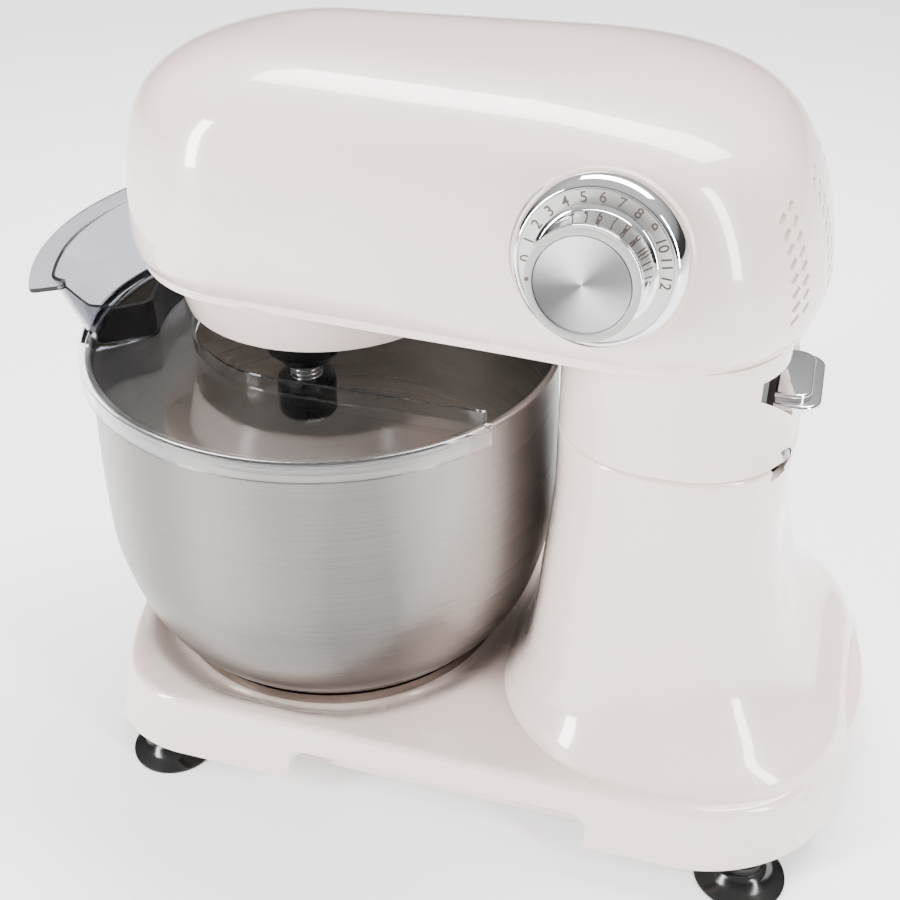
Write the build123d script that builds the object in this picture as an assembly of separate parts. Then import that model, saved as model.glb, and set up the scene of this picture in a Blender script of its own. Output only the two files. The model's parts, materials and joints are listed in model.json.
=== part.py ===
from build123d import *
import os
from math import atan2, cos, pi, radians, sin, sqrt

# Tilt-head stand mixer: millimetres, +Z up, origin under the middle of its box, floor at z = 0.
# -X is the front, where the bowl stands, +X is the rear, and the speed dial is on the -Y side.

# ---- driving dimensions -------------------------------------------------------------
BOWL_X = -74.0                 # x of the bowl and planetary axis
WALL = 3.0                     # moulded wall thickness
FIT = 0.05                     # radial clearance of a running fit
GAP = 0.4                      # air gap between bodies that pass each other

DECK_TOP = 44.0                # top of the flat base
DECK_BOTTOM = 14.0             # lower edge of the base skirt
DECK_FRONT = -169.5            # front apex of the deck's top outline
DECK_ARC_R = 222.0             # radius of the bowed front edge
DECK_HALF = 107.0              # half width of the deck's top outline
DECK_REAR = 192.0              # rear apex of the deck's top outline
REAR_ARC_R = 150.0
DECK_FLARE = 8.5               # how far the skirt spreads at its lower edge
RECESS_TOP = 28.5              # raised lower edge between the corners of the skirt
GLAND_Z = 22.5                 # height of the mains inlet in the rear recess
DISH_FLOOR = 35.5              # floor of the dish that the bowl stands in
DISH_FLAT_R = 89.0
DISH_RIM_R = 106.0

SEAM_Z = 187.0                 # split between column and neck
SEAM_GAP = 0.8
HEAD_BOTTOM = 239.0            # lower edge of the head's top cover
HINGE_X, HINGE_Z = 136.5, 187.4   # axis of the head hinge
TILT_MAX = 40.0

BOWL_BASE_Z = 36.3             # underside of the bowl's foot ring
BOWL_RIM_Z = 191.5
BOWL_WALL = 0.9
BOWL_TWIST = 30.0
SEAT_LUGS = 6                  # bayonet lugs between bowl and base

HUB_R = 62.0                   # lower edge of the round skirt around the planetary drive
HUB_Z = 215.0
ORBIT = 20.0                   # eccentricity of the tool shaft
TOOL_ANGLE = -98.5             # direction of the tool shaft from the bowl axis at rest, degrees
TOOL_X = BOWL_X + ORBIT * cos(radians(TOOL_ANGLE))
TOOL_Y = ORBIT * sin(radians(TOOL_ANGLE))
TOOL_SHAFT_R = 6.0
COLLAR_TOP = 180.0
COLLAR_BOTTOM = 159.0
COLLAR_R = 13.5
SOCKET_R = 4.2                 # bore for the shank of a beater

GEAR_MODULE = 1.25
RING_TEETH = 48
PLANET_TEETH = 16
MAIN_TEETH = 60
PINION_TEETH = 15
WORM_WHEEL_TEETH = 30
WORM_STARTS = 2
IDLER_X = BOWL_X + 44.0        # vertical intermediate shaft
IDLER_Y = sqrt((GEAR_MODULE * (MAIN_TEETH + PINION_TEETH) / 2) ** 2 - 44.0 ** 2)
WHEEL_R = 20.0                 # pitch radius of the worm wheel
WORM_R = 6.9                   # pitch radius of the worm
WORM_LEAD = 2 * pi * WHEEL_R / WORM_WHEEL_TEETH * WORM_STARTS
IDLER_ANGLE = atan2(IDLER_Y, IDLER_X - BOWL_X) * 180 / pi
MOTOR_Y = IDLER_Y - WHEEL_R - WORM_R
MOTOR_Z = 284.0
MOTOR_R = 33.0
MOTOR_X0, MOTOR_X1 = 12.0, 96.0

DIAL_X, DIAL_Y, DIAL_Z = 64.5, -79.4, 282.5
DIAL_YAW, DIAL_TILT = 3.0, 6.0
DIAL_R = 32.5
NUMBERS_W = 7.3                # height of the dial's number ring above its seat

PIN_R = 2.5                    # hinge pin
EAR_R = 4.2                    # metal around the hinge pin
NOSE_R = 6.0                   # rounded lower edge of the neck behind the hinge
EAR_Y0, EAR_Y1 = 34.0, 38.5    # the column frame's two ears

LEVER_Z = 198.6                # underside of the release lever
LEVER_X, LEVER_PIN_Z = 112.0, 207.0
LEVER_HALF = 23.5
LEVER_TIP_X = 150.0
NOTCH_X = 126.5                # rear face of the neck inside the lever notch
NOTCH_Z0, NOTCH_Z1 = 197.8, 227.0
NOTCH_HALF = 24.8              # half width of the notch's flat floor
NOTCH_SLOPE = 0.75             # rise of the floor on both sides of the flat part
STRIKER_X, STRIKER_Z = 60.0, 178.0

GUARD_R = 112.8
GUARD_Z = 195.2                # upper face of the splash guard's plate
GUARD_OPEN_R = 60.0
CHUTE_TOP = 231.0

os.makedirs("parts", exist_ok=True)


def save(shape, name):
    export_step(shape, f"parts/{name}.step")


def tube(r_out, r_in, z0, z1, x=0.0, y=0.0):
    """Round tube on a vertical axis."""
    ring = Pos(x, y, (z0 + z1) / 2) * Cylinder(r_out, z1 - z0)
    if r_in <= 0:
        return ring
    return ring - Pos(x, y, (z0 + z1) / 2) * Cylinder(r_in, z1 - z0 + 2)


def rod_x(r, x0, x1, y, z):
    """Solid rod on an axis along X."""
    return Pos((x0 + x1) / 2, y, z) * Rot(0, 90, 0) * Cylinder(r, x1 - x0)


def rod_y(r, y0, y1, x, z):
    """Solid rod on an axis along Y."""
    return Pos(x, (y0 + y1) / 2, z) * Rot(90, 0, 0) * Cylinder(r, y1 - y0)


def block(x0, x1, y0, y1, z0, z1):
    return Pos((x0 + x1) / 2, (y0 + y1) / 2, (z0 + z1) / 2) * Box(x1 - x0, y1 - y0, z1 - z0)


def spun(points, x=0.0, y=0.0):
    """Solid of revolution about a vertical axis, from (r, z) corners."""
    wire = Polyline(*[(r, 0, z) for r, z in points], close=True)
    return Pos(x, y, 0) * revolve(make_face(wire), Axis.Z)


# ---- outlines ----------------------------------------------------------------------
def deck_outline(grow, z):
    """Deck outline spread outward by grow: bowed front and rear, straight sides, soft corners."""
    half = DECK_HALF + grow
    front_r, rear_r = DECK_ARC_R + grow, REAR_ARC_R + grow
    front, rear = DECK_FRONT - grow, DECK_REAR + grow
    front_x = front + front_r - sqrt(front_r ** 2 - half ** 2)
    rear_x = rear - rear_r + sqrt(rear_r ** 2 - half ** 2)
    edges = [
        ThreePointArc((front_x, half), (front, 0), (front_x, -half)),
        Line((front_x, -half), (rear_x, -half)),
        ThreePointArc((rear_x, -half), (rear, 0), (rear_x, half)),
        Line((rear_x, half), (front_x, half)),
    ]
    corners = make_face(edges).vertices().sort_by(Axis.X)
    face = fillet(corners[:2], 42.0 + grow)
    return Pos(0, 0, z) * fillet(face.vertices().sort_by(Axis.X)[-2:], 62.0 + grow)


def oval(front, rear, half, n_front, n_rear, front_end, rear_start, half_front, z):
    """Closed outline with a rounded front, tapering straight sides and a rounded rear.

    The round ends are superellipse quadrants with exponents n_front and n_rear.
    """
    steps = 7
    side = []
    for i in range(steps + 1):
        a = pi / 2 * i / steps
        x = front_end - (front_end - front) * abs(cos(a)) ** (2 / n_front)
        side.append((x, half_front * abs(sin(a)) ** (2 / n_front)))
    for i in range(1, 4):
        t = i / 4
        side.append((front_end + t * (rear_start - front_end), half_front + t * (half - half_front)))
    for i in range(steps + 1):
        a = pi / 2 * (1 - i / steps)
        x = rear_start + (rear - rear_start) * abs(cos(a)) ** (2 / n_rear)
        side.append((x, half * abs(sin(a)) ** (2 / n_rear)))
    loop = [(x, -y) for x, y in side] + [(x, y) for x, y in reversed(side[1:-1])]
    return Pos(0, 0, z) * make_face(Spline(*loop, periodic=True))


def room_grow(z):
    """Spread of the base's inner space at height z."""
    return 3.5 - 5.65 * (z - 10.0) / 31.0


# (z, front x, rear x, half width, corner radius) of the column's sections
COLUMN = [
    (DECK_TOP - 6, 21.5, 190.5, 104.5, 74.0),
    (52.0, 29.0, 182.0, 97.5, 66.0),
    (62.0, 34.0, 169.5, 90.5, 60.0),
    (75.0, 36.5, 159.5, 84.0, 55.0),
    (90.0, 38.0, 152.5, 78.5, 51.0),
    (110.0, 39.5, 147.0, 73.8, 48.0),
    (132.0, 41.5, 143.0, 71.0, 46.0),
    (156.0, 43.0, 141.5, 70.3, 45.0),
    (SEAM_Z, 43.0, 142.5, 70.5, 45.0),
]

# (z, front x, rear x, half width, corner radius) of the neck's sections
NECK = [
    (SEAM_Z + SEAM_GAP, 43.0, 142.5, 70.5, 45.0),
    (205.0, 43.0, 137.0, 70.8, 45.5),
    (222.0, 42.6, 135.5, 71.2, 45.5),
    (HEAD_BOTTOM - WALL, 42.0, 135.0, 71.5, 45.5),
]


def rounded_section(z, front, rear, half, corner, inset=0.0):
    length = rear - front - 2 * inset
    return Pos((front + rear) / 2, 0, z) * RectangleRounded(length, 2 * (half - inset), corner - inset)


def between(a, b, c, d, t):
    """Catmull-Rom value between b and c."""
    return 0.5 * (2 * b + (c - a) * t + (2 * a - 5 * b + 4 * c - d) * t ** 2 + (3 * b - a - 3 * c + d) * t ** 3)


def refined(sections, steps=2):
    """The sections with more of them in between, on a smooth curve through all."""
    last = len(sections) - 1
    rows = []
    for i in range(last):
        near = [sections[min(max(k, 0), last)] for k in (i - 1, i, i + 1, i + 2)]
        for step in range(steps):
            rows.append(tuple(between(*values, step / steps) for values in zip(*near)))
    return rows + [sections[-1]]


def lofted(sections, inset=0.0, z_shift_low=0.0, z_shift_high=0.0):
    """Solid through rounded sections, with the first and last section moved in z."""
    rows = refined(sections)
    last = len(rows) - 1
    faces = []
    for i, (z, front, rear, half, corner) in enumerate(rows):
        shift = z_shift_low if i == 0 else z_shift_high if i == last else 0.0
        faces.append(rounded_section(z + shift, front, rear, half, corner, inset))
    return loft(faces, ruled=True)


# (z, front x, rear x, front half width, rear half width, front end, rear start)
HEAD = [
    (239.0, -154.5, 142.0, 68.0, 76.5, -89.5, 71.0),
    (246.0, -156.0, 144.5, 71.5, 80.3, -89.5, 71.0),
    (256.0, -156.0, 145.5, 73.3, 82.3, -89.5, 71.0),
    (270.0, -155.0, 143.5, 72.8, 81.6, -89.0, 71.0),
    (286.0, -153.0, 139.0, 71.0, 80.0, -88.0, 69.0),
    (300.0, -149.0, 132.5, 69.0, 78.2, -87.0, 66.0),
    (310.0, -143.5, 125.5, 66.0, 75.5, -85.0, 62.0),
    (318.0, -134.5, 115.5, 60.5, 70.0, -82.0, 56.0),
    (324.0, -122.0, 102.0, 52.5, 61.5, -77.0, 47.0),
    (328.5, -105.0, 83.0, 41.0, 48.0, -70.0, 35.0),
    (331.5, -84.0, 58.0, 26.0, 31.0, -60.0, 20.0),
]


def head_solid(inset, z_low):
    faces = []
    for i, (z, front, rear, half_f, half_r, front_end, rear_start) in enumerate(HEAD):
        height = z_low if i == 0 else z - inset * (z - HEAD_BOTTOM) / (HEAD[-1][0] - HEAD_BOTTOM)
        faces.append(
            oval(front + inset, rear - inset, half_r - inset, 2.0, 2.3,
                 front_end, rear_start, half_f - inset, height)
        )
    return loft(faces)


def gear_face(teeth, module=GEAR_MODULE, turn=0.0, z=0.0):
    """Straight-sided gear outline, its first tooth turned this many degrees from +X."""
    pitch = teeth * module / 2
    step = 2 * pi / teeth
    outer, root = pitch + 0.95 * module, pitch - 1.2 * module
    corners = []
    for i in range(teeth):
        for radius, offset in ((root, -0.33), (outer, -0.11), (outer, 0.11), (root, 0.33)):
            a = step * (i + offset) + radians(turn)
            corners.append((radius * cos(a), radius * sin(a), z))
    return make_face(Polyline(*corners, close=True))


def gear(teeth, bore, z0, z1, x, y, turn):
    """Spur gear about a vertical axis, one of its teeth turned this many degrees from +X."""
    blank = extrude(gear_face(teeth, GEAR_MODULE, turn), z1 - z0)
    return Pos(x, y, z0) * blank - tube(bore, 0, z0 - 1, z1 + 1, x, y)


def ring_gear(teeth, r_out, z0, z1, turn, module=GEAR_MODULE):
    """Ring about the bowl axis with inner teeth, one tooth space turned this far from +X."""
    pitch = teeth * module / 2
    step = 2 * pi / teeth
    tip, root = pitch - 0.95 * module, pitch + 1.2 * module
    corners = []
    for i in range(teeth):
        for radius, offset in ((root, -0.17), (root, 0.17), (tip, 0.39), (tip, 0.61)):
            a = step * (i + offset) + radians(turn)
            corners.append((radius * cos(a), radius * sin(a)))
    hole = extrude(make_face(Polyline(*corners, close=True)), z1 - z0)
    return tube(r_out, 0, z0, z1, BOWL_X) - Pos(BOWL_X, 0, z0) * hole


def coil(radius, wire, pitch, turns):
    """Round wire wound up a helix from z = 0, with its axis on +Z."""
    path = Helix(pitch, pitch * turns, radius)
    return sweep(Plane(path @ 0, z_dir=path % 0) * Circle(wire), path)


# ---- base: housing, plate, feet, bowl seat, column frame ------------------------------
# (x, y, top) of the screw bosses under the deck
BASE_BOSSES = [(x, side * y, top) for x, y, top in ((-100, 80, 34), (0, 88, 42), (100, 102.5, 36)) for side in (-1, 1)]
SEAT_SCREWS = [(BOWL_X + 30 * cos(pi / 2 * i), 30 * sin(pi / 2 * i)) for i in range(4)]
FRAME_BOLTS = [(x, y) for x in (56, 124) for y in (-46, 46)]
FEET = [(-128.0, -96.0), (-128.0, 96.0), (149.0, -96.0), (149.0, 96.0)]


def archway(x0, x1, y0, y1):
    """Cutter for a raised stretch of the skirt's lower edge, with rounded ends."""
    box = block(x0, x1, y0, y1, DECK_BOTTOM - 9, RECESS_TOP)
    along = Axis.Y if x1 - x0 > y1 - y0 else Axis.X
    return fillet(box.edges().filter_by(along).group_by(Axis.Z)[-1], 8.0)


def base_housing():
    deck = loft(
        [deck_outline(0, DECK_TOP), deck_outline(DECK_FLARE, DECK_BOTTOM + 3.5), deck_outline(5.0, DECK_BOTTOM)],
        ruled=True,
    )
    deck = fillet(deck.faces().sort_by(Axis.Z)[-1].edges(), 3.0)
    floor, slope, brim = DISH_FLOOR, DISH_FLAT_R, DISH_RIM_R
    dish = spun([(0, 70), (0, floor), (slope, floor), (brim, DECK_TOP + 0.1), (brim, 70)], BOWL_X)
    below = floor - WALL
    under = spun([(0, 70), (0, below), (slope, below), (brim, DECK_TOP - WALL), (brim, 70)], BOWL_X)
    room = loft([deck_outline(room_grow(41), 41), deck_outline(room_grow(10), 10)], ruled=True) - under
    shell = deck - dish + lofted(COLUMN) - room - lofted(COLUMN, WALL, -4.0, 1.0)
    for side in (-1, 1):
        y0, y1 = sorted((side * 97, side * 125))
        shell += block(-62, 84, y0, y1, 5, RECESS_TOP + WALL) & deck
        shell -= archway(-59, 81, *sorted((side * 100, side * 125)))
    shell += block(179, 210, -61, 61, 5, RECESS_TOP + WALL) & deck
    shell -= archway(182, 210, -58, 58)
    shell -= rod_x(4.9, 170, 190, 0, GLAND_Z)
    shell -= rod_y(NOSE_R + GAP + 0.6, -50, 50, HINGE_X, HINGE_Z)
    for x, y, top in BASE_BOSSES:
        shell += tube(4.5, 1.6, 17.0, top, x, y)
    for x, y in SEAT_SCREWS:
        shell -= tube(1.6, 0, 30, 40, x, y)
    return shell


def bottom_plate():
    plate = extrude(deck_outline(room_grow(14.8) - GAP, 14.8), 2.2)
    for side in (-1, 1):
        plate -= block(-63, 85, *sorted((side * 96.6, side * 120)), 10, 20)
    plate -= block(178.6, 210, -62, 62, 10, 20)
    for x, y, top in BASE_BOSSES:
        plate -= tube(1.7, 0, 10, 20, x, y)
    for x, y in FRAME_BOLTS:
        plate -= tube(2.1, 0, 10, 20, x, y)
    for x, y in FEET:
        plate -= tube(3.0, 0, 10, 20, x, y)
    return plate


def suction_foot(x, y):
    """Rubber cup with a hollow underside and a button stem through the plate."""
    cup = [(0, 3.5), (12, 2.6), (18.3, 0), (20.3, 0), (20.3, 1.4), (13, 6.5), (9, 9)]
    stem = [(9, 13.6), (3, 13.6), (3, 17), (4.2, 17.4), (2.4, 20.5), (0, 20.5)]
    return spun(cup + stem, x, y)


def bowl_seat():
    """Bayonet ring on the deck: a boss with six flange sectors that hold the bowl's lugs."""
    seat = tube(70, 0, DISH_FLOOR, DISH_FLOOR + 0.5, BOWL_X) + tube(60.5, 0, DISH_FLOOR, 40.3, BOWL_X)
    seat += sectors(60, 65, 38.3, 40.3, SEAT_LUGS, 22.0)
    seat -= tube(52, 0, DISH_FLOOR + 1.6, 42, BOWL_X)
    for x, y in SEAT_SCREWS:
        seat -= tube(1.7, 0, 30, 45, x, y)
    return seat


def sectors(r_in, r_out, z0, z1, count, width):
    """Ring sectors about the bowl axis, evenly spaced, each width degrees wide."""
    shape = None
    for i in range(count):
        mid = radians(360 / count * i)
        half = radians(width / 2)
        reach = r_out * 1.3
        ends = [(reach * cos(a), reach * sin(a)) for a in (mid - half, mid + half)]
        wedge = extrude(make_face(Polyline((0, 0), *ends, close=True)), z1 - z0)
        piece = Pos(BOWL_X, 0, z0) * wedge & tube(r_out, r_in, z0, z1, BOWL_X)
        shape = piece if shape is None else shape + piece
    return shape


def screw(x, y, z_head, length, radius=1.5, up=1):
    """Pan-head screw with its head's seat at z_head, pointing up or down."""
    shank = tube(radius, 0, *sorted((z_head - up * 0.1, z_head + up * length)), x, y)
    return shank + tube(radius * 2.0, 0, *sorted((z_head - up * 1.7, z_head)), x, y)


def screws(places, *args, **options):
    return Compound(children=[screw(p[0], p[1], *args, **options) for p in places])


def column_frame():
    """Pressed steel frame: two side plates with the hinge ears, cross plates and a foot."""
    frame = block(48, 132, -EAR_Y1 - 14, EAR_Y1 + 14, 17.0, 20.0)
    for side in (-1, 1):
        y0, y1 = sorted((side * EAR_Y0, side * EAR_Y1))
        frame += block(54, 122, y0, y1, 17.0, HINGE_Z + EAR_R)
        frame += block(121, HINGE_X, y0, y1, HINGE_Z - EAR_R, HINGE_Z + EAR_R)
        frame += rod_y(EAR_R, y0, y1, HINGE_X, HINGE_Z)
    frame += block(54, 122, -EAR_Y0, EAR_Y0, 140, 143)
    frame -= rod_y(PIN_R + 0.02, -60, 60, HINGE_X, HINGE_Z)
    frame -= rod_y(2.52, -60, 60, STRIKER_X, STRIKER_Z)
    for x, y in FRAME_BOLTS:
        frame -= tube(2.1, 0, 15, 22, x, y)
    return frame


def frame_bolts():
    bolts = [screw(x, y, 14.8, 9.0, 1.95) + tube(3.6, 1.9, 20.0, 22.6, x, y) for x, y in FRAME_BOLTS]
    return Compound(children=bolts)


def cord_gland():
    """Inlet for the mains lead in the rear recess."""
    gland = rod_x(4.9, 177, 184, 0, GLAND_Z) + rod_x(5.6, 182, 184.5, 0, GLAND_Z)
    return gland - rod_x(3.4, 170, 190, 0, GLAND_Z)


# ---- bowl and its cover --------------------------------------------------------------
BOWL_SIDE = [(85.0, 41.0), (95.0, 54.0), (106.0, 82.0), (110.0, 113.0), (109.6, 152.0), (108.4, 189.0)]


def bowl_form(inset):
    """Solid of the bowl's outer form, moved inward by inset."""
    side = [(r - inset, 0, z + (inset if i == 0 else 0)) for i, (r, z) in enumerate(BOWL_SIDE)]
    low = 42.4 + inset
    top = BOWL_RIM_Z - 1.6 + (2.0 if inset else 0)
    edges = [
        Spline(*side, tangents=[(0.9, 0, 1.0), (0, 0, 1)], tangent_scalars=[0.6, 1.0]),
        Polyline(side[-1], (side[-1][0], 0, top), (0, 0, top), (0, 0, low), (side[0][0] - 22, 0, low), side[0]),
    ]
    return Pos(BOWL_X, 0, 0) * revolve(make_face(edges), Axis.Z)


def bowl():
    rim = Pos(BOWL_X, 0, BOWL_RIM_Z - 1.6) * Torus(BOWL_SIDE[-1][0], 1.6)
    return bowl_form(0.0) - bowl_form(BOWL_WALL) + rim


def bowl_foot():
    """Steel foot ring with six inward lugs under the seat's flange."""
    ring = tube(85.6, 84.2, BOWL_BASE_Z, 41.0, BOWL_X) + tube(85.0, 66.2, BOWL_BASE_Z, BOWL_BASE_Z + 1.3, BOWL_X)
    return ring + sectors(61.2, 67, BOWL_BASE_Z, BOWL_BASE_Z + 1.3, SEAT_LUGS, 20.0)


def slot_open(half, z0, z1):
    """U-shaped space round the tool drive, open towards the column."""
    return tube(half, 0, z0, z1, BOWL_X) + block(BOWL_X, BOWL_X + 130, -half, half, z0, z1)


def chute_face(r_in, r_out, spread_in, spread_out, corner, z):
    """Ring sector about the front direction with rounded corners."""
    pts = []
    for r, spread in ((r_in, spread_in), (r_out, spread_out)):
        a = radians(spread)
        pts.append(((-r * cos(a), r * sin(a)), (-r, 0), (-r * cos(a), -r * sin(a))))
    inner, outer = pts
    edges = [ThreePointArc(*inner), Line(inner[2], outer[2]), ThreePointArc(*reversed(outer)), Line(outer[0], inner[0])]
    face = make_face(edges)
    return Pos(BOWL_X, 0, z) * fillet(face.vertices(), corner)


def chute_solid(inset, z0, z1):
    trim = inset * 0.9
    return loft([
        chute_face(76.5 + inset, 106.5 - inset, 24.0 - trim, 27.0 - trim, 7.0 - inset, z0),
        chute_face(77.5 + inset, 119.0 - inset, 25.0 - trim, 33.0 - trim, 9.0 - inset, z1),
    ], ruled=True)


def splash_guard():
    low = BOWL_RIM_Z + 0.4
    plate = tube(GUARD_R, 0, low, GUARD_Z - 1.2, BOWL_X) + tube(GUARD_R, GUARD_R - 1.8, 183.5, low + 1, BOWL_X)
    lip = slot_open(GUARD_OPEN_R + 1.6, low, 200.0) & tube(GUARD_R - 2.0, 0, low, 200.0, BOWL_X)
    guard = plate + lip - slot_open(GUARD_OPEN_R, 180, 210)
    return guard - chute_solid(1.8, low - 3, low + 6)


def pouring_chute():
    """Clear funnel standing on the guard, its sides rising to a wide lip at the front."""
    z0, z1 = GUARD_Z - 1.2, CHUTE_TOP
    above = [(60, 212), (93, 212), (104, 216), (114, z1 - 2), (114, 260), (60, 260)]
    walls = chute_solid(0.0, z0, z1) - spun(above, BOWL_X)
    lip = extrude(chute_face(112.0, 127.5, 33.0, 33.0, 3.0, z1 - 2.0), 2.0)
    return walls + lip - chute_solid(1.8, z0 - 0.1, z1 + 0.1)


# ---- head: covers, chassis, gears and motor ----------------------------------------------
VENT_ROWS = 8
VENT_PITCH = 5.6
VENT_COLUMNS = [(50.0, 0.0), (44.0, 2.7), (20.0, 3.0), (14.0, 5.6)]


def vent_slots():
    slots = []
    for y, lift in VENT_COLUMNS:
        for side in (-1, 1):
            for row in range(VENT_ROWS):
                z = 293.5 + lift - VENT_PITCH * row
                slots.append(Pos(133, side * y, z) * Rot(-side * 38, 0, 0) * Box(36, 4.4, 1.9))
    return slots


def dial_place():
    """Plane of the dial's seat on the side wall, its z axis pointing outward."""
    yaw, tilt = radians(DIAL_YAW), radians(DIAL_TILT)
    normal = (-sin(yaw) * cos(tilt), -cos(yaw) * cos(tilt), sin(tilt))
    return Plane((DIAL_X, DIAL_Y, DIAL_Z), x_dir=(cos(yaw), -sin(yaw), 0), z_dir=normal).location


# (x, y) of the screws that hold the two halves of the head together
COVER_SCREWS = [(-141.5, -23.0), (-141.5, 23.0), (30.0, -66.0), (30.0, 66.0)]


def head_top_cover():
    shell = head_solid(0.0, HEAD_BOTTOM) - head_solid(WALL, HEAD_BOTTOM - 3.0)
    shell += dial_place() * Pos(0, 0, -3) * Cylinder(DIAL_R + 0.9, 6)
    shell -= dial_place() * Pos(0, 0, 8) * Cylinder(DIAL_R + 0.9, 16)
    shell -= dial_place() * Pos(0, 0, -4) * Cylinder(9.0, 12)
    inside = head_solid(1.0, HEAD_BOTTOM)
    for x, y in COVER_SCREWS:
        wall_x, wall_y = (-20, 0) if x < 0 else (0, 12 if y > 0 else -12)
        rib = block(*sorted((x - 1.2, x + 1.2 + wall_x)), *sorted((y - 1.2, y + 1.2 + wall_y)), HEAD_BOTTOM, 252)
        shell += (rib & inside) + tube(4.0, 0, HEAD_BOTTOM, 252, x, y)
        shell -= tube(1.6, 0, HEAD_BOTTOM - 1, 250, x, y)
    return shell - vent_slots()


def hub_tube():
    return spun([(HUB_R, HUB_Z), (68.0, 236.0), (65.0, 236.0), (HUB_R - 3.0, HUB_Z)], BOWL_X)


def notch(x0, x1, grow=0.0):
    """Space round the lever at the rear of the neck, its floor rising toward both sides."""
    low, high = NOTCH_Z0 - grow, NOTCH_Z1 + grow
    half = NOTCH_HALF + grow / 3
    spread = (high - low + 0.25 * grow) / NOTCH_SLOPE
    pts = [(-half, low), (half, low), (half + spread, high), (-half - spread, high)]
    face = make_face(Polyline(*[(x0, y, z) for y, z in pts], close=True))
    return extrude(face, x1 - x0, dir=(1, 0, 0))


def head_lower_cover():
    z, front, rear, half_f, half_r, front_end, rear_start = HEAD[0]
    floor = oval(front + 1.2, rear - 1.2, half_r - 1.2, 2.0, 2.3, front_end, rear_start, half_f - 1.2, z - 3.8)
    cover = extrude(floor, 3.8) + lofted(NECK) + hub_tube()
    lining = notch(NOTCH_X - WALL, 160, WALL)
    cover -= lofted(NECK, WALL, -1.0, 5.0) - lining
    cover -= notch(NOTCH_X, 160)
    section = extrude(rounded_section(HINGE_Z - NOSE_R - 1, 43.0, 142.5, 70.5, 45.0), NOSE_R + 2)
    nose = rod_y(NOSE_R, -44, 44, HINGE_X, HINGE_Z) & section & block(HINGE_X + 2.9, 150, -44, 44, 170, 192)
    cover += nose
    cover -= rod_y(EAR_R + GAP, -44, 44, HINGE_X, HINGE_Z)
    cover -= block(NOTCH_X - 5, NOTCH_X + 1, -12.6, 12.6, 200.4, 211.3)
    cover -= tube(41.0, 0, 230, z + 1, BOWL_X)
    for x, y in COVER_SCREWS:
        cover -= tube(1.7, 0, 230, 245, x, y)
    return cover


def lever_shroud():
    """Black plate that lines the back of the notch, with a frame round the lever's root."""
    plate = notch(NOTCH_X, NOTCH_X + 1.8, -0.3) & lofted(NECK, 0.6)
    plate += block(NOTCH_X, NOTCH_X + 4.5, -24.6, 24.6, NOTCH_Z0 + 0.3, 213.6)
    plate -= block(NOTCH_X + 1.8, NOTCH_X + 6, -23.9, 23.9, NOTCH_Z0 - 1, 212.4)
    return plate - block(NOTCH_X - 1, NOTCH_X + 6, -12.6, 12.6, 200.4, 212.4)


def gear_plate(z0, z1):
    return Pos(-61.0, 0, z0) * extrude(RectangleRounded(130, 100, 22), z1 - z0)


PILLARS = [(-100.0, -42.0), (-100.0, 42.0), (-4.0, -38.0), (-4.0, 38.0)]
ARM_BOLTS = [(-8.0, -22.0), (-8.0, 22.0)]
MOTOR_BOLTS = [(14.0, MOTOR_Y - 7), (14.0, MOTOR_Y + 7), (94.0, MOTOR_Y - 7), (94.0, MOTOR_Y + 7)]


def gear_housing():
    """Cast base of the gearbox, with the cup of the planetary drive below it."""
    body = gear_plate(239.0, 243.0) + tube(40.5, 0, 228.0, 250.0, BOWL_X)
    body += tube(15.0, 0, 249.0, 262.0, BOWL_X) + tube(8.0, 0, 243.0, 262.0, IDLER_X, IDLER_Y)
    body -= tube(36.0, 0, 227.0, 246.0, BOWL_X)
    body -= tube(11.0, 0, 245.0, 263.0, BOWL_X)
    body -= tube(4.0 + FIT, 0, 246.0, 263.0, IDLER_X, IDLER_Y)
    for x, y in PILLARS:
        body += tube(5.0, 1.6, 242.0, 294.0, x, y)
    for x, y in ARM_BOLTS:
        body -= tube(1.7, 0, 238, 244, x, y)
    return body


def gearbox_lid():
    """Top plate of the gearbox, with the seat of the worm's end bearing and both shafts."""
    lid = gear_plate(294.0, 298.0) + block(2.0, 12.0, MOTOR_Y - 20, MOTOR_Y + 20, 294.0, 298.0)
    lid += block(-60.0, -52.0, MOTOR_Y - 11, MOTOR_Y + 11, 273.5, 294.5)
    lid -= tube(5.0 + FIT, 0, 290, 300, BOWL_X)
    lid -= tube(4.0 + FIT, 0, 290, 300, IDLER_X, IDLER_Y)
    lid -= rod_x(8.0, -62.0, -50.0, MOTOR_Y, MOTOR_Z)
    for x, y in PILLARS:
        lid -= tube(1.7, 0, 290, 300, x, y)
    return lid


def hinge_arm():
    """Steel arm from the hinge knuckle up to the gearbox, with cheeks for the lever's pin."""
    arm = rod_y(EAR_R, -33.4, 33.4, HINGE_X, HINGE_Z) + block(-16, 118, -30, 30, 243.0, 247.0)
    for side in (-1, 1):
        y0, y1 = sorted((side * 20.0, side * 30.0))
        arm += block(96, HINGE_X, y0, y1, HINGE_Z + 0.6, HINGE_Z + EAR_R)
        arm += block(96, 118, y0, y1, HINGE_Z + 0.6, 243.5)
    arm -= rod_y(PIN_R + FIT, -60, 60, HINGE_X, HINGE_Z)
    arm -= rod_y(2.02, -60, 60, LEVER_X, LEVER_PIN_Z)
    for x, y in ARM_BOLTS + MOTOR_BOLTS:
        arm -= tube(1.7, 0, 240, 250, x, y)
    return arm


def disc_x(r, x0, x1, bore=0.0):
    """Disc or tube on the motor's axis."""
    body = rod_x(r, x0, x1, MOTOR_Y, MOTOR_Z)
    return body - rod_x(bore, x0 - 1, x1 + 1, MOTOR_Y, MOTOR_Z) if bore > 0 else body


TIE_RODS = [(MOTOR_Y - 20.6, MOTOR_Z - 20.6), (MOTOR_Y + 20.6, MOTOR_Z + 20.6)]


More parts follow.
